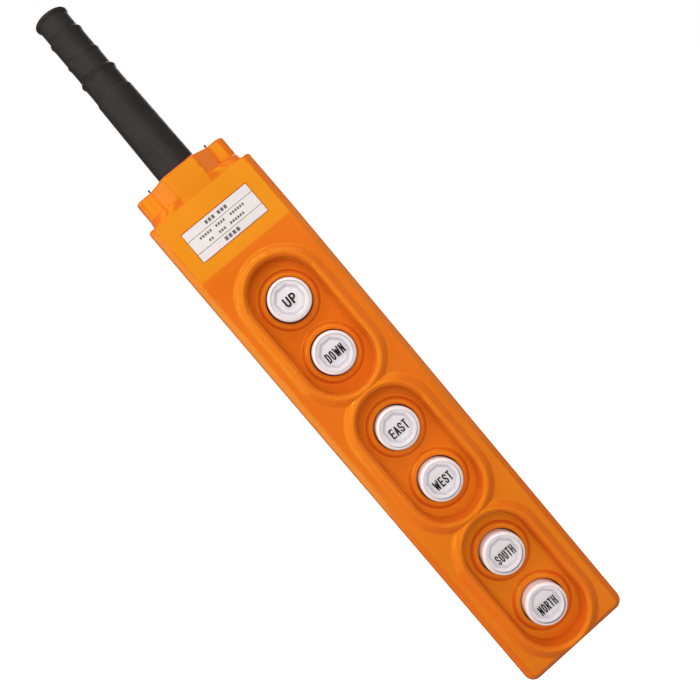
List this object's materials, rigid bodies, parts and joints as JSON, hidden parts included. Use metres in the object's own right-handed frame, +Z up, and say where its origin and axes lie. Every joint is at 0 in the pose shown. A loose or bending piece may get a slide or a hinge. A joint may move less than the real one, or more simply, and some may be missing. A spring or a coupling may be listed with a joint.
{
  "type": "pendant control station",
  "caption": "Hand-held hoist control pendant: long orange case, paired push buttons inside guard ridges, nameplate, stepped rubber cable sleeve.",
  "frame": {"origin": "centre of the rubber sleeve's mouth, where the cable comes in and holds the pendant up", "axes": "+Z up along the hanging pendant, towards the cable; buttons face -Y; +X to the right of someone facing the buttons"},
  "size_m": [0.0636, 0.0458, 0.4105],
  "materials": {
    "orange_plastic": "glossy moulded",
    "black_rubber": "satin moulded",
    "clear_cap": "clear, polished",
    "white_plastic": "satin",
    "label_film": "printed film",
    "black_plastic": "moulded",
    "zinc_steel": "zinc plated",
    "black_steel": "blackened",
    "brass": "plain"
  },
  "bodies": {
    "case": {"front_cover": "orange_plastic", "rear_cover": "orange_plastic", "cover_gasket": "black_rubber", "nameplate": "label_film", "rubber_sleeve": "black_rubber", "sleeve_retainer": "zinc_steel", "retainer_screw_left": "black_steel", "retainer_screw_right": "black_steel", "button_seal_sheet": "black_rubber", "cover_screw_1": "zinc_steel", "cover_screw_2": "zinc_steel", "cover_screw_3": "zinc_steel", "cover_screw_4": "zinc_steel", "cover_screw_5": "zinc_steel", "cover_screw_6": "zinc_steel", "contact_block_1": "black_plastic", "common_terminal_1": "brass", "block_screw_1": "zinc_steel", "contact_block_2": "black_plastic", "common_terminal_2": "brass", "block_screw_2": "zinc_steel", "contact_block_3": "black_plastic", "common_terminal_3": "brass", "block_screw_3": "zinc_steel", "switch_terminal_up": "brass", "return_spring_up": "zinc_steel", "switch_terminal_down": "brass", "return_spring_down": "zinc_steel", "switch_terminal_east": "brass", "return_spring_east": "zinc_steel", "switch_terminal_west": "brass", "return_spring_west": "zinc_steel", "switch_terminal_south": "brass", "return_spring_south": "zinc_steel", "switch_terminal_north": "brass", "return_spring_north": "zinc_steel"},
    "button_up": {"button_cap_up": "clear_cap", "legend_plate_up": "white_plastic", "button_stem_up": "black_plastic", "contact_bridge_up": "brass"},
    "button_down": {"button_cap_down": "clear_cap", "legend_plate_down": "white_plastic", "button_stem_down": "black_plastic", "contact_bridge_down": "brass"},
    "button_east": {"button_cap_east": "clear_cap", "legend_plate_east": "white_plastic", "button_stem_east": "black_plastic", "contact_bridge_east": "brass"},
    "button_west": {"button_cap_west": "clear_cap", "legend_plate_west": "white_plastic", "button_stem_west": "black_plastic", "contact_bridge_west": "brass"},
    "button_south": {"button_cap_south": "clear_cap", "legend_plate_south": "white_plastic", "button_stem_south": "black_plastic", "contact_bridge_south": "brass"},
    "button_north": {"button_cap_north": "clear_cap", "legend_plate_north": "white_plastic", "button_stem_north": "black_plastic", "contact_bridge_north": "brass"}
  },
  "joints": [
    {"name": "press_up", "type": "slide", "parent": "case", "child": "button_up", "axis": [0, 1, 0], "range_m": [0, 0.0045], "stiffness_N_per_m": 300, "springref_m": -0.01, "deforming": ["return_spring_up"]},
    {"name": "press_down", "type": "slide", "parent": "case", "child": "button_down", "axis": [0, 1, 0], "range_m": [0, 0.0045], "stiffness_N_per_m": 300, "springref_m": -0.01, "deforming": ["return_spring_down"]},
    {"name": "press_east", "type": "slide", "parent": "case", "child": "button_east", "axis": [0, 1, 0], "range_m": [0, 0.0045], "stiffness_N_per_m": 300, "springref_m": -0.01, "deforming": ["return_spring_east"]},
    {"name": "press_west", "type": "slide", "parent": "case", "child": "button_west", "axis": [0, 1, 0], "range_m": [0, 0.0045], "stiffness_N_per_m": 300, "springref_m": -0.01, "deforming": ["return_spring_west"]},
    {"name": "press_south", "type": "slide", "parent": "case", "child": "button_south", "axis": [0, 1, 0], "range_m": [0, 0.0045], "stiffness_N_per_m": 300, "springref_m": -0.01, "deforming": ["return_spring_south"]},
    {"name": "press_north", "type": "slide", "parent": "case", "child": "button_north", "axis": [0, 1, 0], "range_m": [0, 0.0045], "stiffness_N_per_m": 300, "springref_m": -0.01, "deforming": ["return_spring_north"]}
  ]
}
